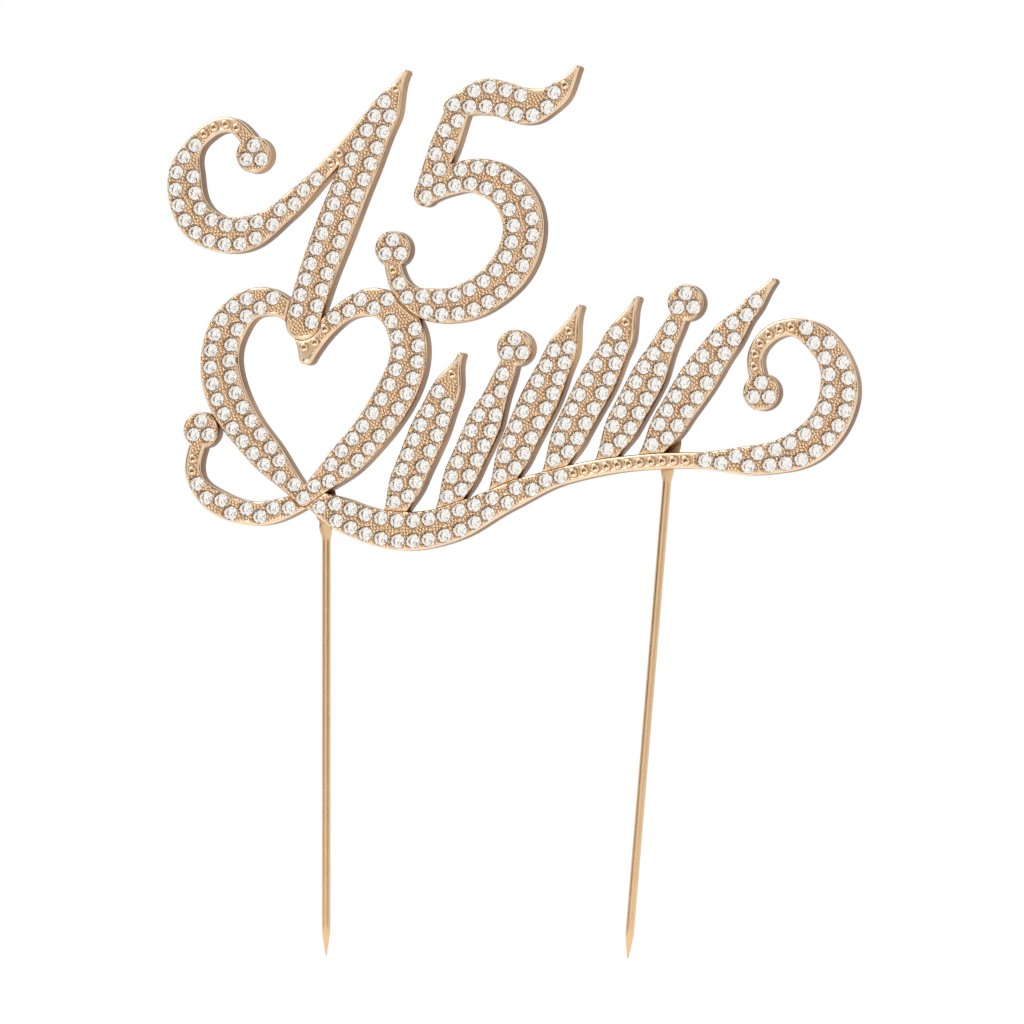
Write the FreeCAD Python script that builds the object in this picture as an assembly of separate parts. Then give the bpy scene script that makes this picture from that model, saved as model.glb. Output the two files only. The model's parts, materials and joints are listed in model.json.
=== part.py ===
"""Cake topper: a numeral 15 over an open heart and a leafy scroll, eleven castings joined into one panel.

The panel stands in the XZ plane. Its jewelled front looks along -Y and its plain back along +Y. Two wire
prongs are brazed to the back and push down into what the topper stands on. The origin is on the left
prong's axis, level with the surface that the prongs go into. All sizes are in millimetres.
"""
import FreeCAD
import Part
import math
import os
from FreeCAD import Vector

# ---- driving dimensions --------------------------------------------------------------------------
PLATE_THICKNESS = 3.5        # front face to back face of every casting

PRONG_DIAMETER = 1.5         # round wire
PRONG_DEPTH = 42.0           # from the surface that the prongs go into down to both tips
PRONG_POINT_LENGTH = 4.0     # the cone ground on each tip
PRONG_POINT_DIAMETER = 0.3   # the blunted end of that cone
LEFT_PRONG_TOP = 42.5        # height of the left wire's upper end
RIGHT_PRONG_TOP = 52.0       # height of the right wire's upper end
RIGHT_PRONG_X = 58.2         # where the right wire meets the surface
RIGHT_PRONG_LEAN = 4.9       # degrees from upright, leaning out to the right
PADDLE_LENGTH = 12.0         # the end of each wire that is hammered flat against the back
PADDLE_WIDTH = 2.4
PADDLE_THICKNESS = 0.9
PADDLE_TAPER = 2.5           # from the round wire to the full width

STONE_DIAMETER = 2.5         # round pointed-back stone, across its girdle
STONE_CROWN = 0.55           # girdle to table
STONE_GIRDLE = 0.12
STONE_PAVILION = 1.05        # girdle to point
STONE_TABLE = 1.35           # across the flat top
STONE_FACETS = 8
STONE_TURN = 137.508         # degrees from one stone's facets to the next stone's
STONE_GAP = 0.3              # least gap between two girdles
ROW_REACH = 1.75             # the furthest that a row of stones lies from its pen line
SEAT_CLEARANCE = 0.05        # round the girdle
SEAT_WALL = 0.2              # metal left between a seat and the casting's edge
GIRDLE_SINK = 0.12           # top of the girdle below the front face
GLUE_THICKNESS = 0.15        # the drop under each stone
GLUE_DIAMETER = 1.7

BUTTON_DIAMETER = 1.7        # cast imitation stones that run along the hairlines
BUTTON_HEIGHT = 0.4
BUTTON_BEVEL = 0.22
BUTTON_DIMPLE = 0.6          # across the mouth of the dimple in each button
BUTTON_DIMPLE_DEPTH = 0.3
BUTTON_WALL = 0.25           # metal left beside a button
BUTTON_GAP = 0.3             # least gap between a button and its neighbour
HAIRLINE_WIDTH = 3.4         # a stroke no wider than this is a hairline

BALL_RADIUS = 3.2            # round terminals, each with a ring of stones
BALL_STONES = 3
BRAZE_LENGTH = 8.0           # along the prong
BRAZE_WIDTH = 4.6            # across it
BRAZE_FROM_END = 1.2         # paddle left bare past the filler
DROP_DIAMETER = 3.4          # brazing drops that bridge two castings
DROP_HEIGHT = 0.9

STATION_STEP = 2.6           # spacing of the points that an outline passes through
SPANS_PER_EDGE = 4           # how many of those steps make one edge
ROW_STEP_SHARE = 0.08        # of a stone: how finely a row tries for its next free place

# ---- the strokes ---------------------------------------------------------------------------------
# Each stroke is a pen line: points of (x, z, width) that a smooth curve passes through, in drawing order.
STROKES = {
    "numeral_one": [
        [(15.5, 112.0, 1.0), (11.4, 104.5, 5.6), (6.8, 95.0, 6.8), (2.4, 84.5, 7.0), (-1.2, 75.2, 6.6),
         (-3.2, 68.6, 6.2)],
        [(15.0, 111.3, 1.0), (8.6, 103.6, 2.6), (1.4, 95.8, 2.8), (-6.6, 88.4, 4.0), (-15.0, 84.2, 6.2),
         (-22.2, 86.4, 6.8), (-25.0, 93.6, 6.4), (-22.4, 101.0, 3.0), (-16.6, 103.6, 2.7),
         (-12.4, 99.8, 2.8)],
    ],
    "numeral_five": [
        [(24.6, 105.6, 4.2), (30.6, 107.4, 6.4), (37.6, 105.6, 6.4), (43.3, 107.8, 4.0),
         (46.6, 112.0, 1.0)],
        [(25.4, 106.0, 4.2), (22.6, 99.0, 5.0), (19.1, 90.5, 4.0)],
        [(19.1, 90.5, 3.8), (25.0, 93.4, 5.4), (31.9, 92.6, 6.8), (36.7, 86.5, 7.4), (35.5, 79.0, 7.4),
         (29.3, 73.0, 6.8), (21.3, 71.2, 6.0), (14.8, 74.4, 3.4), (13.0, 80.0, 2.8)],
    ],
    "heart": [
        [(-3.0, 38.0, 3.2), (-11.2, 47.0, 6.2), (-17.6, 57.0, 7.4), (-17.4, 67.0, 6.8), (-11.2, 72.4, 5.2),
         (-5.0, 69.8, 3.4), (-2.5, 62.5, 2.6)],
        [(-3.0, 38.0, 3.2), (6.2, 46.0, 6.4), (13.8, 56.0, 7.2), (16.0, 65.5, 6.6), (10.9, 71.8, 5.2),
         (3.5, 69.8, 3.4), (-2.5, 62.5, 2.6)],
    ],
    "vine": [
        [(-3.0, 38.5, 3.4), (5.3, 34.4, 6.0), (14.8, 32.0, 6.8), (24.2, 33.4, 6.4), (33.7, 37.6, 4.8),
         (44.2, 41.4, 3.0), (55.8, 43.4, 2.7), (67.3, 43.8, 2.8), (78.8, 43.8, 5.2), (88.3, 46.8, 6.8),
         (93.0, 54.4, 6.8), (90.6, 63.2, 5.2), (83.4, 66.4, 2.9), (78.4, 61.8, 2.7), (79.2, 56.6, 2.8)],
    ],
    "tail_curl": [
        [(-2.0, 38.0, 3.0), (-10.0, 35.4, 4.2), (-18.0, 36.8, 4.4), (-23.2, 42.0, 2.9), (-22.2, 48.4, 2.8)],
    ],
    "leaf_1": [
        [(12.9, 33.6, 3.4), (16.0, 41.0, 6.2), (19.6, 49.0, 6.6), (22.8, 56.0, 5.4), (25.6, 62.5, 1.0)],
    ],
    "bud_1": [
        [(22.4, 34.8, 3.2), (25.8, 42.0, 6.0), (29.6, 50.0, 6.2), (32.6, 56.8, 4.2), (34.2, 60.6, 3.2)],
    ],
    "leaf_2": [
        [(31.9, 37.6, 3.2), (35.6, 46.0, 6.2), (39.8, 54.5, 6.8), (43.6, 62.5, 5.6), (47.0, 70.5, 1.0)],
    ],
    "leaf_3": [
        [(41.5, 40.8, 3.2), (45.5, 49.0, 6.2), (49.9, 57.0, 6.6), (53.9, 64.5, 5.2), (57.3, 71.8, 1.0)],
    ],
    "bud_2": [
        [(51.0, 43.0, 3.0), (55.0, 50.5, 6.0), (59.2, 58.0, 6.2), (62.6, 64.6, 4.2), (64.6, 68.2, 3.2)],
    ],
    "leaf_4": [
        [(58.8, 43.8, 3.2), (63.2, 50.5, 6.0), (68.0, 57.6, 6.6), (72.8, 64.2, 5.6), (77.4, 69.8, 3.4),
         (81.4, 74.4, 1.2)],
    ],
}
# Round terminals, as (x, z), on the casting that they end.
BALLS = {
    "numeral_one": [(-12.2, 98.2)],
    "numeral_five": [(13.3, 81.2)],
    "vine": [(79.4, 55.4)],
    "tail_curl": [(-21.9, 50.0)],
    "bud_1": [(35.4, 63.6)],
    "bud_2": [(66.0, 71.0)],
}
# Castings that butt and are held by a drop of brazing. The other joints lie under the prongs' brazing.
BRAZED_JOINTS = [
    ("numeral_one", "heart"), ("numeral_five", "heart"), ("tail_curl", "heart"), ("leaf_1", "vine"),
    ("bud_1", "vine"), ("leaf_2", "vine"), ("leaf_3", "vine"), ("bud_2", "vine"),
]

# ---- values worked out from them -----------------------------------------------------------------
PRONG_RADIUS = PRONG_DIAMETER / 2
BACK_Y = -PRONG_RADIUS                      # the prongs lie against the back face
FRONT_Y = BACK_Y - PLATE_THICKNESS
STONE_RADIUS = STONE_DIAMETER / 2
STONE_SPACING = STONE_DIAMETER + STONE_GAP
ROW_STEP = STONE_DIAMETER * ROW_STEP_SHARE
SEAT_RADIUS = STONE_RADIUS + SEAT_CLEARANCE
SEAT_DEPTH = GIRDLE_SINK + STONE_GIRDLE + STONE_PAVILION + GLUE_THICKNESS
EDGE_TO_STONE = SEAT_RADIUS + SEAT_WALL     # from an outline to the nearest stone's centre
CLOSE_FIT = 0.95                            # share of a distance that will do where a stone only just fits
BUTTON_RADIUS = BUTTON_DIAMETER / 2
TOWARDS_BACK = Vector(0, 1, 0)
TOUCH = 1e-5                                # lengths less than this count as none
FULL_TURN = 360


# ---- curves --------------------------------------------------------------------------------------
class PenLine:
    """A natural cubic spline through (x, z), by chord length, with a width eased between its points."""

    def __init__(self, points):
        self.points = points
        self.knots = [0.0]
        for (x0, z0, _), (x1, z1, _) in zip(points, points[1:]):
            self.knots.append(self.knots[-1] + math.hypot(x1 - x0, z1 - z0))
        self.length = self.knots[-1]
        self.bend = [self._second_derivatives([point[axis] for point in points]) for axis in (0, 1)]

    def _second_derivatives(self, values):
        """Solves the spline's three-term equations by elimination; both ends are free of bending."""
        n = len(values)
        h = [b - a for a, b in zip(self.knots, self.knots[1:])]
        upper, right = [0.0] * n, [0.0] * n
        for i in range(1, n - 1):
            rise = (values[i + 1] - values[i]) / h[i] - (values[i] - values[i - 1]) / h[i - 1]
            pivot = 2 * (h[i - 1] + h[i]) - h[i - 1] * upper[i - 1]
            upper[i] = h[i] / pivot
            right[i] = (6 * rise - h[i - 1] * right[i - 1]) / pivot
        second = [0.0] * n
        for i in range(n - 2, 0, -1):
            second[i] = right[i] - upper[i] * second[i + 1]
        return second

    def _span(self, s):
        for i in range(len(self.knots) - 2, 0, -1):
            if s >= self.knots[i]:
                return i
        return 0

    def steps(self, step):
        """Distances along the line, that far apart."""
        return [i * step for i in range(int(self.length / step) + 1)]

    def centre(self, s):
        i = self._span(s)
        h = self.knots[i + 1] - self.knots[i]
        a, b = self.knots[i + 1] - s, s - self.knots[i]
        found = []
        for axis in (0, 1):
            m0, m1 = self.bend[axis][i], self.bend[axis][i + 1]
            p0, p1 = self.points[i][axis], self.points[i + 1][axis]
            cubic = (m0 * a ** 3 + m1 * b ** 3) / (6 * h)
            found.append(cubic + (p0 / h - m0 * h / 6) * a + (p1 / h - m1 * h / 6) * b)
        return found

    def width(self, s):
        i = self._span(s)
        u = (s - self.knots[i]) / (self.knots[i + 1] - self.knots[i])
        ease = u * u * (3 - 2 * u)
        return self.points[i][2] * (1 - ease) + self.points[i + 1][2] * ease

    def left_normal(self, s):
        step = self.length * 1e-4
        x0, z0 = self.centre(max(s - step, 0))
        x1, z1 = self.centre(min(s + step, self.length))
        run = math.hypot(x1 - x0, z1 - z0)
        return -(z1 - z0) / run, (x1 - x0) / run

    def beside(self, s, offset):
        """The point at that distance to the left of the line."""
        (x, z), (nx, nz) = self.centre(s), self.left_normal(s)
        return x + nx * offset, z + nz * offset


def on_front(x, z):
    return Vector(x, FRONT_Y, z)


def smooth_edges(points):
    """One smooth curve through the points, as a run of short edges, so that the walls are short too."""
    curve = Part.BSplineCurve()
    curve.interpolate(points)
    knots = curve.getKnots()
    cuts = knots[:-1:SPANS_PER_EDGE] + knots[-1:]
    return [curve.toShape(start, end) for start, end in zip(cuts, cuts[1:])]


def stroke_face(points):
    """The flat outline of one stroke: a curve along each side and a half circle round each end."""
    line = PenLine(points)
    count = max(4, math.ceil(line.length / STATION_STEP))
    stations = [line.length * i / count for i in range(count + 1)]
    edges = []
    for side in (1, -1):
        edges += smooth_edges([on_front(*line.beside(s, side * line.width(s) / 2)) for s in stations])
    for s, way in ((0.0, -1), (line.length, 1)):
        half = line.width(s) / 2
        (x, z), (nx, nz) = line.centre(s), line.left_normal(s)
        tip = on_front(x + nz * half * way, z - nx * half * way)
        left, right = on_front(*line.beside(s, half)), on_front(*line.beside(s, -half))
        edges.append(Part.Arc(left, tip, right).toShape())
    return Part.Face(Part.Wire(Part.__sortEdges__(edges)))


def ball_face(x, z):
    circle = Part.Circle(on_front(x, z), TOWARDS_BACK, BALL_RADIUS)
    return Part.Face(Part.Wire([circle.toShape()]))


# ---- the castings' blanks ------------------------------------------------------------------------
def casting_blank(name):
    """All strokes and terminals of one casting, merged into one plate."""
    faces = [stroke_face(points) for points in STROKES[name]]
    faces += [ball_face(x, z) for x, z in BALLS.get(name, [])]
    plates = [face.extrude(TOWARDS_BACK * PLATE_THICKNESS) for face in faces]
    if len(plates) == 1:
        return plates[0]
    return plates[0].fuse(plates[1:]).removeSplitter()


def fitted_blanks():
    """Each casting's plate, filed back where it meets those before it, so that they butt face to face."""
    blanks = {}
    for name in STROKES:
        blank = casting_blank(name)
        near = [other for other in blanks.values() if blank.BoundBox.intersect(other.BoundBox)]
        if near:
            blank = blank.cut(near)
        blanks[name] = max(blank.Solids, key=lambda solid: solid.Volume)
    return blanks


def lies_on_front(face):
    return abs(face.BoundBox.YMin - FRONT_Y) < TOUCH and abs(face.BoundBox.YMax - FRONT_Y) < TOUCH


def front_face(blank):
    return max((face for face in blank.Faces if lies_on_front(face)), key=lambda face: face.Area)


# ---- where the stones and buttons go -------------------------------------------------------------
class Layout:
    """Fills each casting's front with stones along its pen lines, and its hairlines with buttons."""

    def __init__(self, blanks):
        self.fronts = {name: front_face(blank) for name, blank in blanks.items()}
        self.rims = {name: Part.makeCompound(front.Edges) for name, front in self.fronts.items()}
        self.placed = []
        self.stones = {name: [] for name in blanks}
        self.buttons = {name: [] for name in blanks}
        for fill in (self._stud_balls, self._stud_strokes, self._fill_hairlines):
            for name in blanks:
                fill(name)

    def _clear(self, x, z, radius, gap):
        return all(math.hypot(x - a, z - b) >= radius + r + gap for a, b, r in self.placed)

    def _on_metal(self, name, x, z, edge_distance):
        point = on_front(x, z)
        if not self.fronts[name].isInside(point, TOUCH, True):
            return False
        return self.rims[name].distToShape(Part.Vertex(point))[0] >= edge_distance

    def _place_stone(self, name, x, z, share=CLOSE_FIT):
        """Puts a stone there if no stone is in its way and its seat stays inside the casting's edge."""
        if not self._clear(x, z, STONE_RADIUS, STONE_GAP * share):
            return False
        if not self._on_metal(name, x, z, EDGE_TO_STONE * CLOSE_FIT):
            return False
        self.placed.append((x, z, STONE_RADIUS))
        self.stones[name].append((x, z))
        return True

    def _stud_balls(self, name):
        """A ring of stones on each round terminal, side by side."""
        reach = (STONE_SPACING / 2) / math.sin(math.pi / BALL_STONES)
        for x, z in BALLS.get(name, []):
            for i in range(BALL_STONES):
                angle = math.pi / 2 + i * 2 * math.pi / BALL_STONES
                self._place_stone(name, x + reach * math.cos(angle), z + reach * math.sin(angle))

    def _stud_strokes(self, name):
        """A row of stones along each edge. They draw together into a zigzag as the stroke narrows."""
        for points in STROKES[name]:
            line = PenLine(points)
            side = 1
            for s in line.steps(ROW_STEP):
                reach = min(line.width(s) / 2 - EDGE_TO_STONE, ROW_REACH)
                if reach < 0:
                    continue
                for way in (side, -side):
                    if self._place_stone(name, *line.beside(s, way * reach), share=1):
                        side = -way

    def _fill_hairlines(self, name):
        """A row of buttons along the hairlines that are too narrow for stones."""
        for points in STROKES[name]:
            line = PenLine(points)
            for s in line.steps(ROW_STEP):
                x, z = line.centre(s)
                if line.width(s) > HAIRLINE_WIDTH or not self._clear(x, z, BUTTON_RADIUS, BUTTON_GAP):
                    continue
                if self._on_metal(name, x, z, BUTTON_RADIUS + BUTTON_WALL):
                    self.placed.append((x, z, BUTTON_RADIUS))
                    self.buttons[name].append((x, z))


# ---- seats, buttons and the castings that carry them ---------------------------------------------
def seat(x, z):
    """The blind hole that a stone sits in, as the solid that is missing there."""
    return Part.makeCylinder(SEAT_RADIUS, SEAT_DEPTH, on_front(x, z), TOWARDS_BACK)


def button(x, z):
    """A low round boss with a bevelled edge and a dimple, turned about an axis square to the front face."""
    top = FRONT_Y - BUTTON_HEIGHT
    half_section = [
        Vector(x, FRONT_Y, z),
        Vector(x + BUTTON_RADIUS, FRONT_Y, z),
        Vector(x + BUTTON_RADIUS, top + BUTTON_BEVEL, z),
        Vector(x + BUTTON_RADIUS - BUTTON_BEVEL, top, z),
        Vector(x + BUTTON_DIMPLE / 2, top, z),
        Vector(x, top + BUTTON_DIMPLE_DEPTH, z),
    ]
    outline = Part.makePolygon(half_section + half_section[:1])
    return Part.Face(outline).revolve(on_front(x, z), TOWARDS_BACK, FULL_TURN)


def studded(blank, features):
    """The blank with its seats sunk and its buttons raised.

    Each of them leaves a round hole in the front face. Its own walls, without the lid that lies on that
    face, then close the skin again, inwards or outwards.
    """
    front = front_face(blank)
    skin = [face for face in blank.Faces if not face.isSame(front)]
    lids = []
    for face in [face for feature in features for face in feature.Faces]:
        (lids if lies_on_front(face) else skin).append(face)
    shell = Part.Shell(skin + front.cut(lids).Faces)
    shell.sewShape()
    return Part.Solid(shell)


# ---- the stones and their glue -------------------------------------------------------------------
def stone():
    """One faceted stone: its axis along Y, its table towards -Y, the top of its girdle at the origin."""
    def ring(radius, y):
        step = 2 * math.pi / STONE_FACETS
        angles = [i * step for i in range(STONE_FACETS)]
        return [Vector(radius * math.cos(a), y, radius * math.sin(a)) for a in angles]

    table = ring(STONE_TABLE / 2, -STONE_CROWN)
    upper, lower = ring(STONE_RADIUS, 0), ring(STONE_RADIUS, STONE_GIRDLE)
    point = Vector(0, STONE_GIRDLE + STONE_PAVILION, 0)
    outlines = [table]
    for i in range(STONE_FACETS):
        j = (i + 1) % STONE_FACETS
        outlines += [
            [table[i], table[j], upper[j], upper[i]],
            [upper[i], upper[j], lower[j], lower[i]],
            [lower[i], lower[j], point],
        ]
    faces = [Part.Face(Part.makePolygon(corners + corners[:1])) for corners in outlines]
    return Part.Solid(Part.Shell(faces))


def set_stones(spots):
    """A stone in each seat, each turned a little more than the last, as loose stones fall."""
    model = stone()
    found = []
    for i, (x, z) in enumerate(spots):
        one = model.copy()
        one.rotate(Vector(0, 0, 0), TOWARDS_BACK, i * STONE_TURN)
        one.translate(on_front(x, z) + TOWARDS_BACK * GIRDLE_SINK)
        found.append(one)
    return Part.makeCompound(found)


def glue_drops(spots):
    """A disc of glue on each seat's floor, which the stone's point touches."""
    lift = TOWARDS_BACK * (SEAT_DEPTH - GLUE_THICKNESS)
    floors = [on_front(x, z) + lift for x, z in spots]
    return Part.makeCompound([
        Part.makeCylinder(GLUE_DIAMETER / 2, GLUE_THICKNESS, floor, TOWARDS_BACK) for floor in floors
    ])


# ---- the prongs and the brazing ------------------------------------------------------------------
def behind_the_back(centre, size):
    """A block on the plates' back face that reaches that far each way from the centre."""
    block = Part.makeBox(2 * size, size, 2 * size)
    block.translate(Vector(centre.x - size, BACK_Y, centre.z - size))
    return block


class Prong:
    """A straight wire with a point ground below, and its upper end hammered flat against the back."""

    def __init__(self, x, lean, top):
        slope = math.radians(lean)
        self.up = Vector(math.sin(slope), 0, math.cos(slope))
        self.side = self.up.cross(TOWARDS_BACK)
        self.at_surface = Vector(x, 0, 0)
        self.end = self.at_height(top)
        self.solid = self._wire()

    def at_height(self, z):
        return self.at_surface + self.up * (z / self.up.z)

    def _wire(self):
        foot = self.at_height(-PRONG_DEPTH)
        shoulder = foot + self.up * PRONG_POINT_LENGTH
        neck = self.end - self.up * PADDLE_LENGTH
        point = Part.makeCone(PRONG_POINT_DIAMETER / 2, PRONG_RADIUS, PRONG_POINT_LENGTH, foot, self.up)
        shaft = Part.makeCylinder(PRONG_RADIUS, (neck - shoulder).Length, shoulder, self.up)
        shrink = Part.makeCone(PRONG_RADIUS, PADDLE_THICKNESS / 4, PADDLE_TAPER, neck, self.up)
        return shaft.fuse([point, shrink, self._paddle(neck)]).removeSplitter()

    def _paddle(self, neck):
        """A flat blade on the plates' back face: it widens from the wire and ends in a half circle."""
        narrow, wide = self.side * PRONG_RADIUS, self.side * (PADDLE_WIDTH / 2)
        widened = neck + self.up * PADDLE_TAPER
        rounding = self.end - self.up * (PADDLE_WIDTH / 2)
        corners = [rounding - wide, widened - wide, neck - narrow]
        corners += [neck + narrow, widened + wide, rounding + wide]
        cap = Part.Arc(rounding + wide, self.end, rounding - wide).toShape()
        outline = Part.Face(Part.Wire(Part.makePolygon(corners).Edges + [cap]))
        outline.translate(TOWARDS_BACK * BACK_Y)
        return outline.extrude(TOWARDS_BACK * PADDLE_THICKNESS)

    def braze_bead(self):
        """The filler that holds the paddle to the plates: half a spindle round the wire."""
        middle = self.end - self.up * (BRAZE_LENGTH / 2 + BRAZE_FROM_END)
        half = self.up * (BRAZE_LENGTH / 2)
        arc = Part.Arc(middle - half, middle + self.side * (BRAZE_WIDTH / 2), middle + half).toShape()
        axis = Part.makeLine(middle + half, middle - half)
        spindle = Part.Face(Part.Wire([arc, axis])).revolve(middle, self.up, FULL_TURN)
        return spindle.common(behind_the_back(middle, BRAZE_LENGTH)).cut(self.solid)


def braze_drop(blank, other):
    """A round drop of filler across the middle of the joint between two plates: a cap of a ball."""
    shared = Part.makeCompound(front_face(blank).Edges).common(Part.makeCompound(front_face(other).Edges))
    joint = max(shared.Edges, key=lambda edge: edge.Length)
    spot = joint.valueAt(joint.getParameterByLength(joint.Length / 2))
    ball_radius = ((DROP_DIAMETER / 2) ** 2 + DROP_HEIGHT ** 2) / (2 * DROP_HEIGHT)
    ball = Part.makeSphere(ball_radius, Vector(spot.x, BACK_Y + DROP_HEIGHT - ball_radius, spot.z))
    return ball.common(behind_the_back(spot, DROP_DIAMETER))


# ---- the whole topper ----------------------------------------------------------------------------
def main():
    os.makedirs("parts", exist_ok=True)
    blanks = fitted_blanks()
    layout = Layout(blanks)
    pieces = {}
    for name, blank in blanks.items():
        spots = layout.stones[name]
        features = [seat(x, z) for x, z in spots] + [button(x, z) for x, z in layout.buttons[name]]
        pieces[name] = studded(blank, features)
        pieces[name + "_stones"] = set_stones(spots)
        pieces[name + "_glue"] = glue_drops(spots)

    left = Prong(0, 0, LEFT_PRONG_TOP)
    right = Prong(RIGHT_PRONG_X, RIGHT_PRONG_LEAN, RIGHT_PRONG_TOP)
    pieces["left_prong"] = left.solid
    pieces["right_prong"] = right.solid
    pieces["left_prong_braze"] = left.braze_bead()
    pieces["right_prong_braze"] = right.braze_bead()
    drops = [braze_drop(blanks[a], blanks[b]) for a, b in BRAZED_JOINTS]
    pieces["joint_braze_drops"] = Part.makeCompound(drops)

    for name, piece in pieces.items():
        piece.exportStep(f"parts/{name}.step")
        print(f"{name}: {len(piece.Solids)} solids, {piece.Volume:.2f} mm3, valid {piece.isValid()}")


if __name__ == "__main__":
    main()
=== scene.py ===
"""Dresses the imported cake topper: plated castings, foiled glass stones, drawn wire prongs and brazing.

Sizes are in metres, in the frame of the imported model: the jewelled front looks along -Y, and +Z is up.
"""
import json
import math

import bpy
import numpy as np
from bpy.props import FloatProperty, FloatVectorProperty, IntProperty, PointerProperty
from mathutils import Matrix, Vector, geometry


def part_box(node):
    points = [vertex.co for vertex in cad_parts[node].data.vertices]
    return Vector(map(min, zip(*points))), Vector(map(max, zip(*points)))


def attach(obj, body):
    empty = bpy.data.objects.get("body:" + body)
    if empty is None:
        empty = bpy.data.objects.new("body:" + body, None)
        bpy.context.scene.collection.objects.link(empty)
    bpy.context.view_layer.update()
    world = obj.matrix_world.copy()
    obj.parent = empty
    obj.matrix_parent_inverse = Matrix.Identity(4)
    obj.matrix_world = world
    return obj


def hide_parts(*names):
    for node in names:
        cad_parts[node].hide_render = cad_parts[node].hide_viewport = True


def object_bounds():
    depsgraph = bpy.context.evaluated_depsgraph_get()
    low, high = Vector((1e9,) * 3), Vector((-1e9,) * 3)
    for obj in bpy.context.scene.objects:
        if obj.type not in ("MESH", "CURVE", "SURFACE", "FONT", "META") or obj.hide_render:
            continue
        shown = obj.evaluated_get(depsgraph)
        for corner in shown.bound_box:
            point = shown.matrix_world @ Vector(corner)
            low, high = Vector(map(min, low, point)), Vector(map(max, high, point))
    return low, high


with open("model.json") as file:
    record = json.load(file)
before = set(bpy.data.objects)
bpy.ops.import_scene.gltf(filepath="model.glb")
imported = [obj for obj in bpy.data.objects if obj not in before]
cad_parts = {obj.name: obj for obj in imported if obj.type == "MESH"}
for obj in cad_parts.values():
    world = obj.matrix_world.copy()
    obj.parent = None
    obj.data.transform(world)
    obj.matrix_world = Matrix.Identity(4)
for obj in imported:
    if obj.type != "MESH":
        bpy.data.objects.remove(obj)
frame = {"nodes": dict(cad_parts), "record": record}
cad_low, cad_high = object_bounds()

bl_info = {
    "name": "Jewelled Topper Finish",
    "version": (1, 0, 0),
    "blender": (4, 5, 0),
    "location": "3D Viewport > Sidebar > Topper",
    "description": "Finishes a cake topper of stone-set castings on two wire prongs",
    "category": "Object",
}

MM = 0.001  # a millimetre in Blender's metres
BODY = "root"  # nothing on the topper moves, so everything rides on one body
WELD = 1e-7  # corners of a CAD mesh nearer than this are one corner
ON_PLANE = 1e-6  # how far a corner may lie off a plane and still count as on it
SLIVER = 0.02 * MM  # edges of a CAD outline shorter than this are skipped
CORNER = math.radians(20)  # an outline turns by more than this only at a real corner
MITRE_LIMIT = 1.5  # how far a point may move in at a corner, as a share of the offset
CELL = 3 * MM  # side of the cells that points are sorted into to find what is near them
SEARCH = 4.5 * MM  # no point on metal is further than this from the outline
FACETS = 8  # main facets round a stone
GIRDLE_SHARE = 0.98  # corners of a packed stone past this share of its reach are its girdle's
HOLLOW = "hollow"  # attribute for how deep in a hollow a point lies: it sets painted shade and dullness
BACKWARDS = np.array((0, 1, 0))

CASTINGS = sorted(name[:-len("_stones")] for name in frame["nodes"] if name.endswith("_stones"))
BACK_Y = max(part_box(name)[1].y for name in CASTINGS)
FRONT_Y = max(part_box(name)[0].y for name in CASTINGS)  # castings without buttons end at the front face
SEAT_Y = max(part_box(name + "_glue")[1].y for name in CASTINGS)
PINS = {mount["name"]: mount for mount in frame["record"]["mounts"]}


def linear(code):
    """A colour written as six hex digits of sRGB, as linear light."""
    value = np.array([int(code[i:i + 2], 16) for i in (0, 2, 4)]) / 255
    return tuple(np.where(value <= 0.04045, value / 12.92, ((value + 0.055) / 1.055) ** 2.4).tolist())


def amount(name, default, description, **kind):
    return FloatProperty(name=name, description=description, default=default, **kind)


def size(name, millimetres, description):
    return amount(name, millimetres * MM, description, unit="LENGTH", precision=5)


def degrees(name, value, description):
    return amount(name, math.radians(value), description, subtype="ANGLE")


def colour(name, code, description):
    return FloatVectorProperty(name=name, description=description, default=linear(code), size=3,
                               subtype="COLOR", min=0, max=1)


# ---- sizes and colours that a user may change ----
class CastingProperties(bpy.types.PropertyGroup):
    spacing: size("Outline spacing", 0.35, "Distance between points of a resampled outline")
    edge_round: size("Front edge", 0.42, "Radius of the front edge, worn round by tumbling")
    back_round: size("Back edge", 0.15, "Radius of the back edge")
    rim_width: size("Rim width", 0.5, "Metal at full height along the outline")
    rim_slope: size("Rim slope", 0.3, "Width of the slope from the rim to the bed")
    bed_depth: size("Bed depth", 0.16, "Depth of the bed below the rim")
    collar_height: size("Collar height", 0.2, "Metal pushed up round each stone")
    collar_reach: size("Collar reach", 1.38, "From a stone's middle to the crest of its collar")
    collar_width: size("Collar width", 0.09, "Half width of that crest")
    seat_reach: size("Seat reach", 1.27, "Radius of a stone's hole")
    grain: size("Grain", 0.34, "Largest radius of a grain between the stones")
    grain_least: size("Least grain", 0.2, "Smallest such radius")
    button: size("Button", 0.86, "Radius of a button on a hairline")
    button_height: size("Button height", 0.4, "Height of a button over the front")
    button_dimple: size("Button dimple", 0.1, "Height of its dimple's bottom over the front")


class StoneProperties(bpy.types.PropertyGroup):
    girdle: size("Girdle", 1.25, "Radius of the stone at its widest")
    table: size("Table", 0.675, "Radius of the flat top")
    crown: size("Crown", 0.55, "Height from the girdle to the table")
    edge: size("Girdle edge", 0.12, "Thickness of the girdle")
    pavilion: size("Pavilion", 1.05, "Height from the girdle to the point")
    tilt: degrees("Tilt", 2.5, "Most that a stone leans in its seat")
    seed: IntProperty(name="Seed", description="Picks the lean of each stone", default=15)


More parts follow.
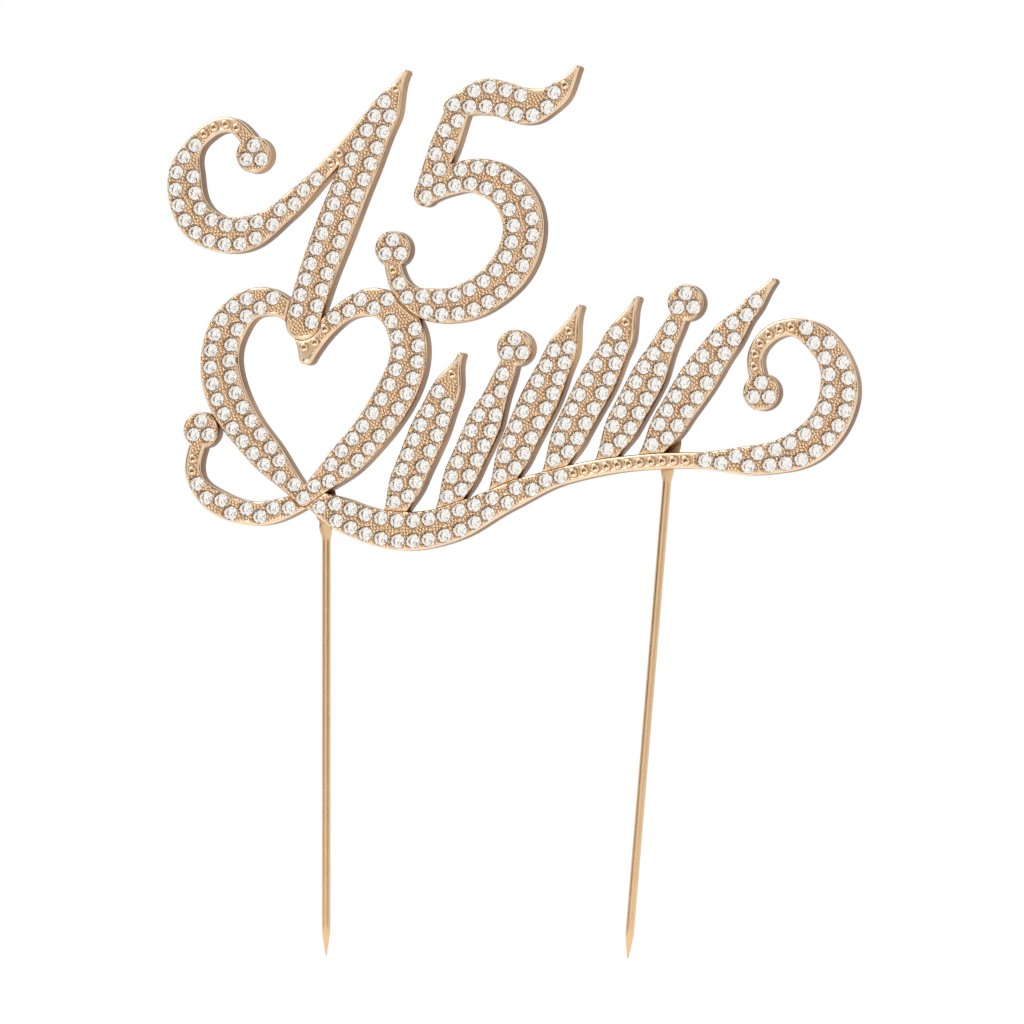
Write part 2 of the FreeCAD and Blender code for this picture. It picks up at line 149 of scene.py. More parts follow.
class WireProperties(bpy.types.PropertyGroup):
    point_length: size("Point length", 4.0, "Length of the ground point")
    point_radius: size("Point radius", 0.15, "Radius of its blunted end")
    paddle_length: size("Paddle length", 12.0, "Length of the end that is hammered flat")
    paddle_width: size("Paddle width", 1.2, "Half width of the flat end")
    paddle_thickness: size("Paddle thickness", 0.9, "Thickness of the flat end")
    paddle_taper: size("Paddle taper", 2.5, "Length over which the wire turns flat")
    hammer_mark: size("Hammer mark", 0.035, "Depth of the marks on the flat end")


class BrazeProperties(bpy.types.PropertyGroup):
    bead_length: size("Bead length", 8.0, "Length of the filler on a prong")
    bead_reach: size("Bead reach", 2.3, "Radius of that filler at its middle")
    drop_reach: size("Drop reach", 1.7, "Radius of a drop across a joint")
    drop_height: size("Drop height", 0.9, "Height of such a drop")
    ripple: amount("Ripple", 0.05, "Unevenness of the filler, as a share of its size", subtype="FACTOR")


class FinishProperties(bpy.types.PropertyGroup):
    gold: colour("Gold", "EED3B3", "Plating where it is polished")
    # Deep gold is painted shade in the castings' hollows, seats and button dimples, and flux on the brazing.
    gold_shade_and_flux: colour("Deep gold", "AC835B", "Plating in the hollows")
    # Wall gold is painted shade on the castings' walls, and a duller random tone on the back and the wire.
    gold_wall_shade_and_patches: colour("Wall gold", "C79C68", "Plating on the unpolished walls")
    # Dark wall gold is deeper painted shade, in large random patches on the walls.
    gold_wall_deep_shade: colour("Dark wall gold", "80572E", "Where that plating is thin")
    gold_back: colour("Back gold", "E0BE97", "Plating on the back")
    wire: colour("Wire", "E6C39A", "Plated wire")
    braze: colour("Brazing", "DFB68A", "Plated brazing filler")
    foil: colour("Foil", "FCFAF7", "Silver backing of the stones")
    resin: colour("Resin", "D9C9A0", "Glue under the stones")
    resin_deep: colour("Deep resin", "B79E66", "That glue where it has yellowed most")


class StageProperties(bpy.types.PropertyGroup):
    azimuth: degrees("Azimuth", 16, "Camera's turn to the right of the front")
    distance: amount("Distance", 1.24, "From the camera to the topper", unit="LENGTH")
    height: amount("Camera height", 0.0, "Above the origin of the frame", unit="LENGTH")
    field: degrees("Field", 8.2, "Angle that the picture spans")
    key: amount("Key light", 9.0, "Power of the large soft light, in watts")
    fill: amount("Fill light", 1.2, "Power of the weaker soft light, in watts")
    room: amount("Room", 1.0, "Brightness of the room in front of the topper")
    plain: amount("Plain", 0.9, "Brightness of the room on matt surfaces")
    side: amount("Side", 0.12, "Brightness of the room to the sides")


# ---- what the frame says ----
def welded(node):
    """A CAD node's corners, each once, as (n, 3), and its triangles, as (m, 3) corner numbers."""
    mesh = frame["nodes"][node].data
    corners = np.empty(len(mesh.vertices) * 3, np.float32)
    mesh.vertices.foreach_get("co", corners)
    loops = np.empty(len(mesh.loops), np.int32)
    mesh.loops.foreach_get("vertex_index", loops)
    grid = np.round(corners.reshape(-1, 3).astype(float) / WELD).astype(np.int64)
    once, which = np.unique(grid, axis=0, return_inverse=True)
    return once * WELD, which[loops].reshape(-1, 3)


def solids(node):
    """The corners of a CAD node, the number of the solid that each is on, and the middle of each solid.

    Each corner starts with its own number and takes the least one in its triangles, until nothing changes.
    """
    points, triangles = welded(node)
    label, before = np.arange(len(points)), None
    while not np.array_equal(label, before):
        before = label.copy()
        np.minimum.at(label, triangles.ravel(), np.repeat(before[triangles].min(axis=1), 3))
        label = label[label]
    label = np.unique(label, return_inverse=True)[1]
    low = np.full((label.max() + 1, 3), np.inf)
    high = -low
    np.minimum.at(low, label, points)
    np.maximum.at(high, label, points)
    return points, label, (low + high) / 2


def stone_places(casting):
    """The middle of each stone on a casting, as (n, 2) in x and z, and the turn of its facets.

    With k facets, the turn is the angle of the mean of exp(i k a) over the girdle's corners, divided by k.
    """
    points, label, middle = solids(casting + "_stones")
    spoke = (points - middle[label])[:, [0, 2]]
    reach = np.hypot(*spoke.T)
    rim = reach > GIRDLE_SHARE * reach.max()
    folded = np.exp(1j * FACETS * np.arctan2(spoke[rim, 1], spoke[rim, 0]))
    mean = np.bincount(label[rim], folded.real) + 1j * np.bincount(label[rim], folded.imag)
    return middle[:, [0, 2]], np.angle(mean) / FACETS


def button_places(casting, dimple):
    """The middles of a casting's buttons, (n, 2): only corners at the bottom of a dimple lie that high."""
    points, _ = welded(casting)
    return points[np.abs(points[:, 1] - FRONT_Y + dimple) < ON_PLANE][:, [0, 2]]


def cells(points):
    """Points sorted into square cells: the numbers of the points in each, and its two corners."""
    corner, which = np.unique(np.floor(points / CELL).astype(int), axis=0, return_inverse=True)
    shares = np.split(np.argsort(which, kind="stable"), np.cumsum(np.bincount(which))[:-1])
    return [(share, low * CELL, (low + 1) * CELL) for share, low in zip(shares, corner)]


class Outline:
    """A casting's outline, resampled finely: points (n, 2), the number of the point after each, inward normals.

    The CAD outline is the border of the back face: the edges that only one of its triangles has. Between its
    corners the line is a cubic Hermite curve. Its direction at a corner is the mean of the two chords there,
    the shorter counting for more, except at real corners, where each chord keeps its own.
    """

    def __init__(self, casting, spacing):
        points, triangles = welded(casting)
        back = triangles[(np.abs(points[triangles][:, :, 1] - BACK_Y) < ON_PLANE).all(axis=1)]
        edges = np.concatenate([back[:, [1, 0]], back[:, [2, 1]], back[:, [0, 2]]])
        border = edges[~np.isin(edges @ [len(points), 1], edges @ [1, len(points)])]
        self.points, self.after = self._resampled(*self._whole_edges(points[:, [0, 2]], border), spacing)
        self.ends = self.points[self.after]
        before = np.empty_like(self.after)
        before[self.after] = np.arange(len(self.after))
        along = self.ends - self.points
        along /= np.hypot(*along.T)[:, None]
        mean = along + along[before]
        mean /= np.hypot(*mean.T)[:, None]
        stretch = 1 / np.maximum((mean * along).sum(axis=1), 1 / MITRE_LIMIT)
        self.inward = np.stack([-mean[:, 1], mean[:, 0]], axis=1) * stretch[:, None]

    @staticmethod
    def _whole_edges(flat_points, border):
        """Where each edge of the border starts, and the number of the next one, without slivers."""
        leaving = np.full(len(flat_points), -1)
        leaving[border[:, 0]] = np.arange(len(border))
        following = leaving[border[:, 1]]
        start = flat_points[border[:, 0]]
        sliver = np.hypot(*(start[following] - start).T) < SLIVER
        while sliver[following].any():
            following = np.where(sliver[following], following[following], following)
        number = np.cumsum(~sliver) - 1
        return start[~sliver], number[following[~sliver]]

    @staticmethod
    def _resampled(start, following, spacing):
        chord = start[following] - start
        length = np.hypot(*chord.T)[:, None]
        along = chord / length
        mixed = along * length[following] + along[following] * length
        mixed /= np.hypot(*mixed.T)[:, None]
        smooth = (along * along[following]).sum(axis=1)[:, None] > math.cos(CORNER)
        arriving = np.where(smooth, mixed, along)
        leaving = np.empty_like(along)
        leaving[following] = np.where(smooth, mixed, along[following])
        pieces = np.maximum(1, np.ceil(length[:, 0] / spacing)).astype(int)
        first = np.cumsum(pieces) - pieces
        edge = np.repeat(np.arange(len(start)), pieces)
        u = ((np.arange(len(edge)) - first[edge]) / pieces[edge])[:, None]
        points = start[edge] * (2 * u ** 3 - 3 * u ** 2 + 1) + start[following][edge] * (3 * u ** 2 - 2 * u ** 3)
        points += (leaving * length)[edge] * (u ** 3 - 2 * u ** 2 + u)
        points += (arriving * length)[edge] * (u ** 3 - u ** 2)
        after = np.arange(len(edge)) + 1
        after[first + pieces - 1] = first[following]
        return points, after

    def depth(self, points):
        """How far inside the outline each point lies, negative off the metal, and no more than SEARCH."""
        found = np.full(len(points), SEARCH)
        for some, low, high in cells(points):
            near = np.hypot(*(self.points - (low + high) / 2).T) < SEARCH + CELL
            if near.any():
                spoke = points[some][:, None] - self.points[near]
                along = (self.ends - self.points)[near]
                share = np.clip((spoke * along).sum(axis=2) / (along ** 2).sum(axis=1), 0, 1)
                found[some] = np.sqrt(((spoke - share[..., None] * along) ** 2).sum(axis=2).min(axis=1))
        return found * np.where(self.holds(points), 1, -1)

    def holds(self, points):
        """Whether each point is on metal, where a ray along +X crosses the outline an odd number of times."""
        found = np.zeros(len(points), bool)
        for some, low, high in cells(points):
            ahead = (np.maximum(self.points, self.ends) > low).all(axis=1)
            ahead &= np.minimum(self.points, self.ends)[:, 1] < high[1]
            (x0, z0), (x1, z1) = self.points[ahead].T, self.ends[ahead].T
            x, z = points[some][:, :1], points[some][:, 1:]
            with np.errstate(divide="ignore", invalid="ignore"):
                crossing = x0 + (z - z0) * (x1 - x0) / (z1 - z0)
            found[some] = (((z0 > z) != (z1 > z)) & (crossing > x)).sum(axis=1) % 2 == 1
        return found


# ---- meshes ----
class Skin:
    """Corners and faces gathered from several surfaces."""

    def __init__(self):
        self.corners, self.hollows, self.faces, self.materials = [], [], [], []
        self.first = self.count = 0

    def add(self, corners, *faces, hollow=0.0, material=0):
        """Corners (n, 3), arrays of faces (m, k) over them, and how deep in a hollow each lies, from 0 to 1."""
        self.first, self.count = self.count, self.count + len(corners)
        self.corners.append(corners)
        self.hollows.append(np.broadcast_to(hollow, len(corners)))
        self.cover(*faces, material=material)

    def cover(self, *faces, material):
        """More faces over the corners that were added last."""
        for group in faces:
            self.faces.append(group + self.first)
            self.materials += [material] * len(group)

    def piece(self, name, materials, sharp=None):
        """The object, with corners at one place made one. Edges turning by more than sharp stay crisp, or all."""
        corners, first, which = np.unique(np.concatenate(self.corners).astype(np.float32), axis=0,
                                          return_index=True, return_inverse=True)
        mesh = bpy.data.meshes.new(name)
        mesh.from_pydata(corners.tolist(), [], [face for group in self.faces for face in which[group].tolist()])
        hollow = mesh.attributes.new(HOLLOW, "FLOAT", "POINT")
        hollow.data.foreach_set("value", np.concatenate(self.hollows)[first].astype(np.float32))
        for material in materials:
            mesh.materials.append(material)
        mesh.polygons.foreach_set("material_index", self.materials)
        if sharp is None:
            mesh.shade_flat()
        else:
            mesh.shade_smooth()
            mesh.set_sharp_from_angle(angle=math.radians(sharp))
        made = bpy.data.objects.new(name, mesh)
        bpy.context.scene.collection.objects.link(made)
        return made


def smooth_step(value):
    """0 below 0, 1 above 1, and 3 v^2 - 2 v^3 between."""
    value = np.clip(value, 0, 1)
    return value * value * (3 - 2 * value)


def in_space(flat, y):
    """Points (n, 2) in x and z at the depths y, as (n, 3)."""
    return np.stack([flat[..., 0], np.broadcast_to(y, flat.shape[:-1]), flat[..., 1]], axis=-1)


def circles(middles, reach, count):
    """Points (len(middles), count, 2) on a circle round each of the middles (n, 2)."""
    angle = math.tau * np.arange(count) / count
    return middles[:, None] + reach * np.stack([np.cos(angle), np.sin(angle)], axis=1)


def next_in_rings(rings, count):
    """The number of the point after each, for that many rings of count points."""
    number = np.arange(rings * count).reshape(rings, count)
    return np.roll(number, -1, axis=1).ravel()


def bands(rows, after):
    """Quads between each of the rows of corners and the row before it: after is the corner after each."""
    here = np.arange(len(after))
    one = np.stack([here, after, after + len(after), here + len(after)], axis=1)
    return (one[None] + (np.arange(rows - 1) * len(after))[:, None, None]).reshape(-1, 4)


def fan(ring, pole):
    """Triangles from a closed ring of corner numbers to one corner."""
    return np.stack([ring, np.roll(ring, -1), np.full_like(ring, pole)], axis=1)


def loft(rows, start, end):
    """A closed surface through rings (r, c, 3), with a pole before the first and after the last.

    Gives the corners, the sides, and the fans of triangles to the two poles.
    """
    count = rows.shape[0] * rows.shape[1]
    corners = np.concatenate([rows.reshape(-1, 3), [start, end]])
    ring = np.arange(rows.shape[1])
    sides = bands(rows.shape[0], next_in_rings(1, rows.shape[1]))
    return corners, sides, fan(ring[::-1], count), fan(ring + count - rows.shape[1], count + 1)


def everywhere(count, corners, faces):
    """The faces of each group, for that many copies of one shape, which has so many corners."""
    shift = (np.arange(count) * corners)[:, None, None]
    return [(group[None] + shift).reshape(-1, group.shape[1]) for group in faces]


def triangulated(outline, rings, loose):
    """Points (n, 2) inside an outline, with its own first, then closed rings (r, c, 2), then loose points.

    With them come triangles (m, 3), by a constrained Delaunay triangulation that keeps the outline and the
    rings, and depths. It runs in millimetres and single precision, so that each point comes back as it went
    in. Left out are loose points that all but coincide, what lies off the metal, and triangles without area
    along a straight side, which have an edge that is neither shared nor the outline's.
    """
    _, first = np.unique(np.round(loose / SLIVER), axis=0, return_index=True)
    points = (np.concatenate([outline.points, rings.reshape(-1, 2), loose[first]]) / MM).astype(np.float32)
    sides = np.stack([np.arange(len(outline.after)), outline.after], axis=1)
    hoops = np.arange(rings.shape[0] * rings.shape[1])
    hoops = np.stack([hoops, next_in_rings(*rings.shape[:2])], axis=1) + len(sides)
    found = geometry.delaunay_2d_cdt(points.tolist(), np.concatenate([sides, hoops]).tolist(), [], 0, 1e-6)
    if len(found[0]) != len(points):
        raise RuntimeError("an outline meets itself or a seat")
    points = points.astype(float) * MM
    triangles = np.array(found[2])
    triangles = triangles[outline.holds(points[triangles].mean(axis=1))]
    code = [len(points), 1]
    edges = np.sort(triangles[:, [[0, 1], [1, 2], [2, 0]]], axis=2) @ code
    _, which, uses = np.unique(edges, return_inverse=True, return_counts=True)
    sound = (uses[which.reshape(edges.shape)] > 1) | np.isin(edges, np.sort(sides, axis=1) @ code)
    depth = np.maximum(outline.depth(points), 0)
    depth[:len(sides)] = 0
    return points, triangles[sound.all(axis=1)], depth


def nearest(points, places):
    """The distance from each point to the nearest of the places."""
    found = np.full(len(points), np.inf)
    if len(places):
        for some, _, _ in cells(points):
            found[some] = np.hypot(*(points[some][:, None] - places).T).min(axis=0)
    return found


# ---- castings ----
EDGE_ROWS = np.array([0.03, 0.1, 0.2, 0.32, 0.45, 0.55, 0.66, 0.8, 1.1, 1.5, 2.0, 2.6, 3.2]) * MM
BACK_ROWS = np.array([0.25, 0.6, 1.0, 1.8])  # as shares of the back edge's radius
COLLAR_ROWS = np.array([0.05, 0.11, 0.19]) * MM  # outward from a seat
EDGE_GAP, SEAT_GAP = 0.04 * MM, 0.02 * MM  # loose points keep this far from an outline and a seat
ROOM = 0.8  # the share of its offset that a point moved in keeps from every side
SEAT_SIDES = 24  # corners round a seat
IN_SEAT = 0.99  # triangles with their middle within this share of a seat's radius lie in its hole
GRAIN_FIELD = 6 * MM  # grains are looked for this far past the outermost stones
GRAIN_REACH = 4 * MM  # and no further than this from a stone
BARE = 0.9 * MM  # grains further than this from a stone keep off the rim
GRAIN_EDGE = 0.1 * MM  # and nearer ones keep this far from the edge
GRAIN_STEPS = 3  # steps of that search to the radius of the largest grain
GRAIN_RINGS = np.linspace(-0.5, 1.2, 4)  # latitudes of a grain's rings of corners
GRAIN_SIDES, BUTTON_SIDES = 8, 20
COLLAR_SHADE = 0.12 * MM  # the metal's painted shade is darkest within this distance of a seat
BED_SHADE = 0.4  # how dark the painted shade of the bed is away from the seats
BUTTON_ROOT, ROOT_REACH = 0.3 * MM, 0.98  # how far a button goes down into the metal, and how wide it is there
BUTTON_RINGS = np.array([(1, 0), (0.95, 0.5), (0.82, 0.86), (0.62, 1), (0.42, 0.93), (0.3, 0.6)])
DIMPLE_MOUTH, DIMPLE_RING = 0.36, 0.16  # radii of a dimple's mouth and last ring, as shares of a button's too
DIMPLE_RISE = 1.1  # height of that last ring, as a share of the height of the dimple's bottom


def rounded(depth, radius):
    """How far a quarter-round edge lies below the face: r - sqrt(r^2 - (r - depth)^2) within its radius r."""
    short = np.clip(radius - depth, 0, radius)
    return radius - np.sqrt(radius ** 2 - short ** 2)


def relief(sizes, depth, reach):
    """Height of a casting's front over its plane, at a depth inside the outline and a reach from a stone.

    A smooth step goes down from the rim to the bed, a bell exp(-((reach - crest) / width)^2) rises round each
    stone, and the edge is a quarter round.
    """
    bed = sizes.bed_depth * smooth_step((depth - sizes.rim_width) / sizes.rim_slope)
    bell = np.exp(-((reach - sizes.collar_reach) / sizes.collar_width) ** 2)
    ease = np.clip(depth / sizes.edge_round, 0, 1)
    return sizes.collar_height * bell * ease - bed - rounded(depth, sizes.edge_round)


def rows_inside(outline, offsets):
    """Points at each offset in from the outline, along its inward normals, where the metal is wide enough."""
    points = (outline.points + offsets[:, None, None] * outline.inward).reshape(-1, 2)
    return points[outline.depth(points) > ROOM * np.repeat(offsets, len(outline.points))]


def grain_places(sizes, outline, stones, buttons):
    """Where grains stand between the stones and on the bare ends of strokes, as (n, 2), and their radii.

    Of the points on a fine square grid, the one furthest from any stone, button and edge is taken first, those
    that its grain covers are struck out, and so on.
    """
    low, high = stones.min(axis=0) - GRAIN_FIELD, stones.max(axis=0) + GRAIN_FIELD
    ticks = [np.arange(start, stop, sizes.grain / GRAIN_STEPS) for start, stop in zip(low, high)]
    grid = np.stack(np.meshgrid(*ticks), axis=-1).reshape(-1, 2)
    room = nearest(grid, stones) - sizes.seat_reach
    fits = (room > sizes.grain_least) & (room < GRAIN_REACH)
    grid, room = grid[fits], room[fits]
    margin = np.where(room > BARE, sizes.rim_width, GRAIN_EDGE)
    room = np.minimum(room, nearest(grid, buttons) - sizes.button)
    room = np.minimum(room, outline.depth(grid) - margin)
    fits = room > sizes.grain_least
    grid, room = grid[fits], room[fits]
    chosen, radii = [], []
    while len(grid):
        best = room.argmax()
        chosen.append(grid[best])
        radii.append(min(room[best], sizes.grain))
        free = np.hypot(*(grid - grid[best]).T) > radii[-1] + sizes.grain_least
        grid, room = grid[free], room[free]
    return np.array(chosen).reshape(-1, 2), np.array(radii)


def turned(profile, sides):
    """A shape turned about the Y axis, from rows of (radius, height over the front), both ends at the axis."""
    inner = np.array(profile[1:-1])
    rings = circles(np.zeros((1, 2)), 1.0, sides)[0] * inner[:, 0, None, None]
    return loft(in_space(rings, -inner[:, 1, None]), (0, -profile[0][1], 0), (0, -profile[-1][1], 0))


def add_grains(skin, sizes, outline, stones, buttons):
    """Raised grains, each a ball cut off below."""
    spots, radii = grain_places(sizes, outline, stones, buttons)
    profile = [(0, GRAIN_RINGS[0])] + [(math.cos(a), math.sin(a)) for a in GRAIN_RINGS] + [(0, 1.0)]
    ball, *faces = turned(profile, GRAIN_SIDES)
    under = relief(sizes, outline.depth(spots), nearest(spots, stones))
    grains = ball * radii[:, None, None] + in_space(spots, FRONT_Y - under)[:, None]
    skin.add(grains.reshape(-1, 3), *everywhere(len(spots), len(ball), faces))


def add_buttons(skin, sizes, buttons):
    """Round buttons, each with a dimple in its top."""
    tall, low, wide = sizes.button_height, sizes.button_dimple, sizes.button
    profile = [(0, -BUTTON_ROOT), (wide * ROOT_REACH, -BUTTON_ROOT), *(BUTTON_RINGS * (wide, tall)),
               (wide * DIMPLE_RING, low * DIMPLE_RISE), (0, low)]
    ring, *faces = turned(profile, BUTTON_SIDES)
    # Painted shade: the dimple is painted deep gold, as shade in a hollow.
    inside = np.hypot(ring[:, 0], ring[:, 2]) < wide * DIMPLE_MOUTH
    skin.add((ring + in_space(buttons, FRONT_Y)[:, None]).reshape(-1, 3),
             *everywhere(len(buttons), len(ring), faces), hollow=np.tile(inside * 1.0, len(buttons)))


def casting_skin(sizes, casting):
    """The whole skin of a casting: front relief, wall, back, seats, and the grains and buttons on the front."""
    outline = Outline(casting, sizes.spacing)
    stones = stone_places(casting)[0]
    crests = np.concatenate([circles(stones, sizes.seat_reach + gap, SEAT_SIDES).reshape(-1, 2)
                             for gap in COLLAR_ROWS])
    loose = np.concatenate([rows_inside(outline, EDGE_ROWS), crests[outline.depth(crests) > EDGE_GAP]])
    loose = loose[nearest(loose, stones) > sizes.seat_reach + SEAT_GAP]
    flat, triangles, depth = triangulated(outline, circles(stones, sizes.seat_reach, SEAT_SIDES), loose)
    triangles = triangles[nearest(flat[triangles].mean(axis=1), stones) > sizes.seat_reach * IN_SEAT]
    border = np.arange(len(outline.points))
    rim = len(border) + np.arange(len(stones) * SEAT_SIDES)
    reach = nearest(flat, stones)
    height = relief(sizes, depth, reach)
    # Painted shade: the bed darker than the rim, darkest next to the seats; these values also dull the metal.
    by_seat = np.clip(1 - (reach - sizes.seat_reach) / COLLAR_SHADE, 0, 1)
    shade_and_dull = np.clip((depth - sizes.rim_width) / sizes.rim_slope, 0, 1) * (BED_SHADE + (1 - BED_SHADE) * by_seat)
    skin = Skin()
    skin.add(in_space(flat, FRONT_Y - height), triangles, hollow=shade_and_dull)

    edge = in_space(flat[border], FRONT_Y + sizes.edge_round)
    foot = in_space(flat[border], BACK_Y - sizes.back_round)
    skin.add(np.concatenate([foot, edge]), bands(2, outline.after), material=1)

    inner = rows_inside(outline, BACK_ROWS * sizes.back_round)
    back, triangles, depth = triangulated(outline, np.empty((0, SEAT_SIDES, 2)), inner)
    skin.add(in_space(back, BACK_Y - rounded(depth, sizes.back_round)), triangles[:, ::-1], material=2)

    rings = [in_space(flat[rim], y).reshape(-1, SEAT_SIDES, 3) for y in (FRONT_Y - height[rim], SEAT_Y)]
    cups = np.concatenate([*rings, in_space(stones, SEAT_Y)[:, None]], axis=1)
    faces = [bands(2, next_in_rings(1, SEAT_SIDES)), fan(SEAT_SIDES + np.arange(SEAT_SIDES), 2 * SEAT_SIDES)]
    # Painted shade: each seat's cup is painted deep gold all over, as shade in a hole.
    skin.add(cups.reshape(-1, 3), *everywhere(len(stones), cups.shape[1], faces), hollow=1.0)

    buttons = button_places(casting, sizes.button_dimple)
    add_grains(skin, sizes, outline, stones, buttons)
    if len(buttons):
        add_buttons(skin, sizes, buttons)
    return skin


# ---- stones ----
WAIST, WAIST_DEPTH = 0.56, 0.452  # where the pavilion's facets meet, in shares of the girdle and the pavilion
LEAN_SPREAD = 0.5  # standard deviation of the lean, as a share of the most


def chaton(sizes):
    """A pointed-back stone of 57 facets: its corners, and its faces for crown, girdle and pavilion.

    The table is an octagon. Below it are 8 triangles and 8 trapezoids, a girdle of 16 sides that come in pairs,
    and on the pavilion 8 triangles, 8 trapezoids and 8 more triangles to the point.
    """
    eighth = math.tau * np.arange(FACETS) / FACETS
    half = math.pi / FACETS
    paired = np.stack([eighth - half / 2, eighth + half / 2], axis=1).ravel()
    rings = ((eighth, sizes.table, -sizes.crown), (paired, sizes.girdle, 0), (paired, sizes.girdle, sizes.edge),
             (eighth + half, sizes.girdle * WAIST, sizes.edge + sizes.pavilion * WAIST_DEPTH),
             (np.zeros(1), 0, sizes.edge + sizes.pavilion))
    corners = np.concatenate([np.stack([reach * np.cos(angle), np.full(len(angle), y), reach * np.sin(angle)],
                                       axis=1) for angle, reach, y in rings])
    i, k = np.arange(FACETS), np.arange(2 * FACETS)
    over, under, mid, point = FACETS, 3 * FACETS, 5 * FACETS + i, np.full(FACETS, 6 * FACETS)
    left, right, following = 2 * i, 2 * i + 1, (i + 1) % FACETS
    crown = [i[None], np.stack([i, over + left, over + right], axis=1),
             np.stack([i, over + right, over + left[following], following], axis=1)]
    beside = (k + 1) % (2 * FACETS)
    girdle = np.stack([over + k, under + k, under + beside, over + beside], axis=1)
    pavilion = [np.stack([under + right, mid, under + left[following]], axis=1),
                np.stack([under + left[following], mid, mid[following], under + right[following]], axis=1),
                np.stack([mid, point, mid[following]], axis=1)]
    return corners, crown, [girdle], pavilion


def stone_skin(sizes, casting, seed):
    """The stones of a casting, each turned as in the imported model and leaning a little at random."""
    spots, turns = stone_places(casting)
    corners, crown, girdle, pavilion = chaton(sizes)
    chance = np.random.default_rng(seed)
    lean = np.abs(chance.normal(0, LEAN_SPREAD, len(spots))).clip(0, 1)[:, None] * sizes.tilt
    towards = chance.uniform(0, math.tau, len(spots))[:, None]
    cos, sin = np.cos(turns)[:, None], np.sin(turns)[:, None]
    x = corners[:, 0] * cos - corners[:, 2] * sin
    z = corners[:, 0] * sin + corners[:, 2] * cos
    y = corners[:, 1] + np.tan(lean) * (x * np.cos(towards) + z * np.sin(towards))
    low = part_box(casting + "_stones")[0].y + sizes.crown
    placed = np.stack([x + spots[:, :1], np.maximum(y, -sizes.crown) + low, z + spots[:, 1:]], axis=-1)
    skin = Skin()
    skin.add(placed.reshape(-1, 3), *everywhere(len(spots), len(corners), crown + girdle))
    skin.cover(*everywhere(len(spots), len(corners), pavilion), material=1)
    return skin


# ---- prongs and brazing ----
TIP, TIP_LEAST = 0.15 * MM, 0.2  # length that rounds a point off, and its first ring's share of the radius
TIP_ROWS = TIP * np.array((0, 0.3, 0.7, 1))
POINT_GAPS = 0.4 * MM, 0.3 * MM  # how far the other rows of a point keep from its end and from the wire
POINT_ROWS, WIRE_ROWS, TAPER_ROWS, PADDLE_ROWS, END_ROWS = 6, 60, 14, 40, 12
LAST_RING = 1.52  # how far round its half circle a paddle's last ring lies, in radians
WAVE_LENGTHS, WAVE_HEIGHTS = np.array((1, 0.62, 0.41)), (0.5, 0.3, 0.2)  # shares of each of three waves
EDGE_WAVE, EDGE_DENT = 3.1 * MM, 0.03  # wavelength along a paddle's edge, and how far it moves in, as a share
MARK_WAVE, MARK_SLANT = 1.9 * MM, 0.8  # wavelength of the hammer marks, and how much they lean over
END_THIN = 0.35  # how much thinner a paddle is at its end, as a share
SQUARE = 2.2  # what a paddle's exponent has over a round wire's 2
WIRE_SIDES, MOUND_SIDES, MOUND_ROWS = 24, 40, 15
LOBES, LOBE_SUM = (2, 3, 5, 7), 1.2  # waves round the edge of the filler, and what brings their sum to 1
DIMPLE_WAVES = 0.5 * MM, 0.6 * MM  # across and along the filler
THINNING = 1.25  # the power in the profile of the filler


class Pin:
    """The line of a prong, from its mount in the record: foot, end, the direction up, and the direction across."""

    def __init__(self, name):
        pin = PINS[name]
        low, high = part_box(name)
        self.up = -np.array(pin["axis"], float)
        self.up /= np.linalg.norm(self.up)
        self.across = np.cross(BACKWARDS, self.up)
        self.radius = pin["dims"]["r_mm"] * MM
        self.mount = np.array(pin["pos_m"], float)
        self.foot, self.end = self.at(low.z), self.at(high.z)

    def at(self, z):
        """The point of the line at a height."""
        return self.mount + self.up * ((z - self.mount[2]) / self.up[2])

    def place(self, x, y, along):
        """Points x across, y behind, and along from the foot."""
        return self.foot + x[..., None] * self.across + y[..., None] * BACKWARDS + along[..., None] * self.up


def waves(along, wavelength, seed):
    """Three sine waves of unlike lengths and seeded phases added up, between -1 and 1."""
    phase = np.random.default_rng(seed).uniform(0, math.tau, len(WAVE_LENGTHS))
    turn = math.tau * along[..., None] / (wavelength * WAVE_LENGTHS) + phase
    return (np.sin(turn) * WAVE_HEIGHTS).sum(axis=-1)


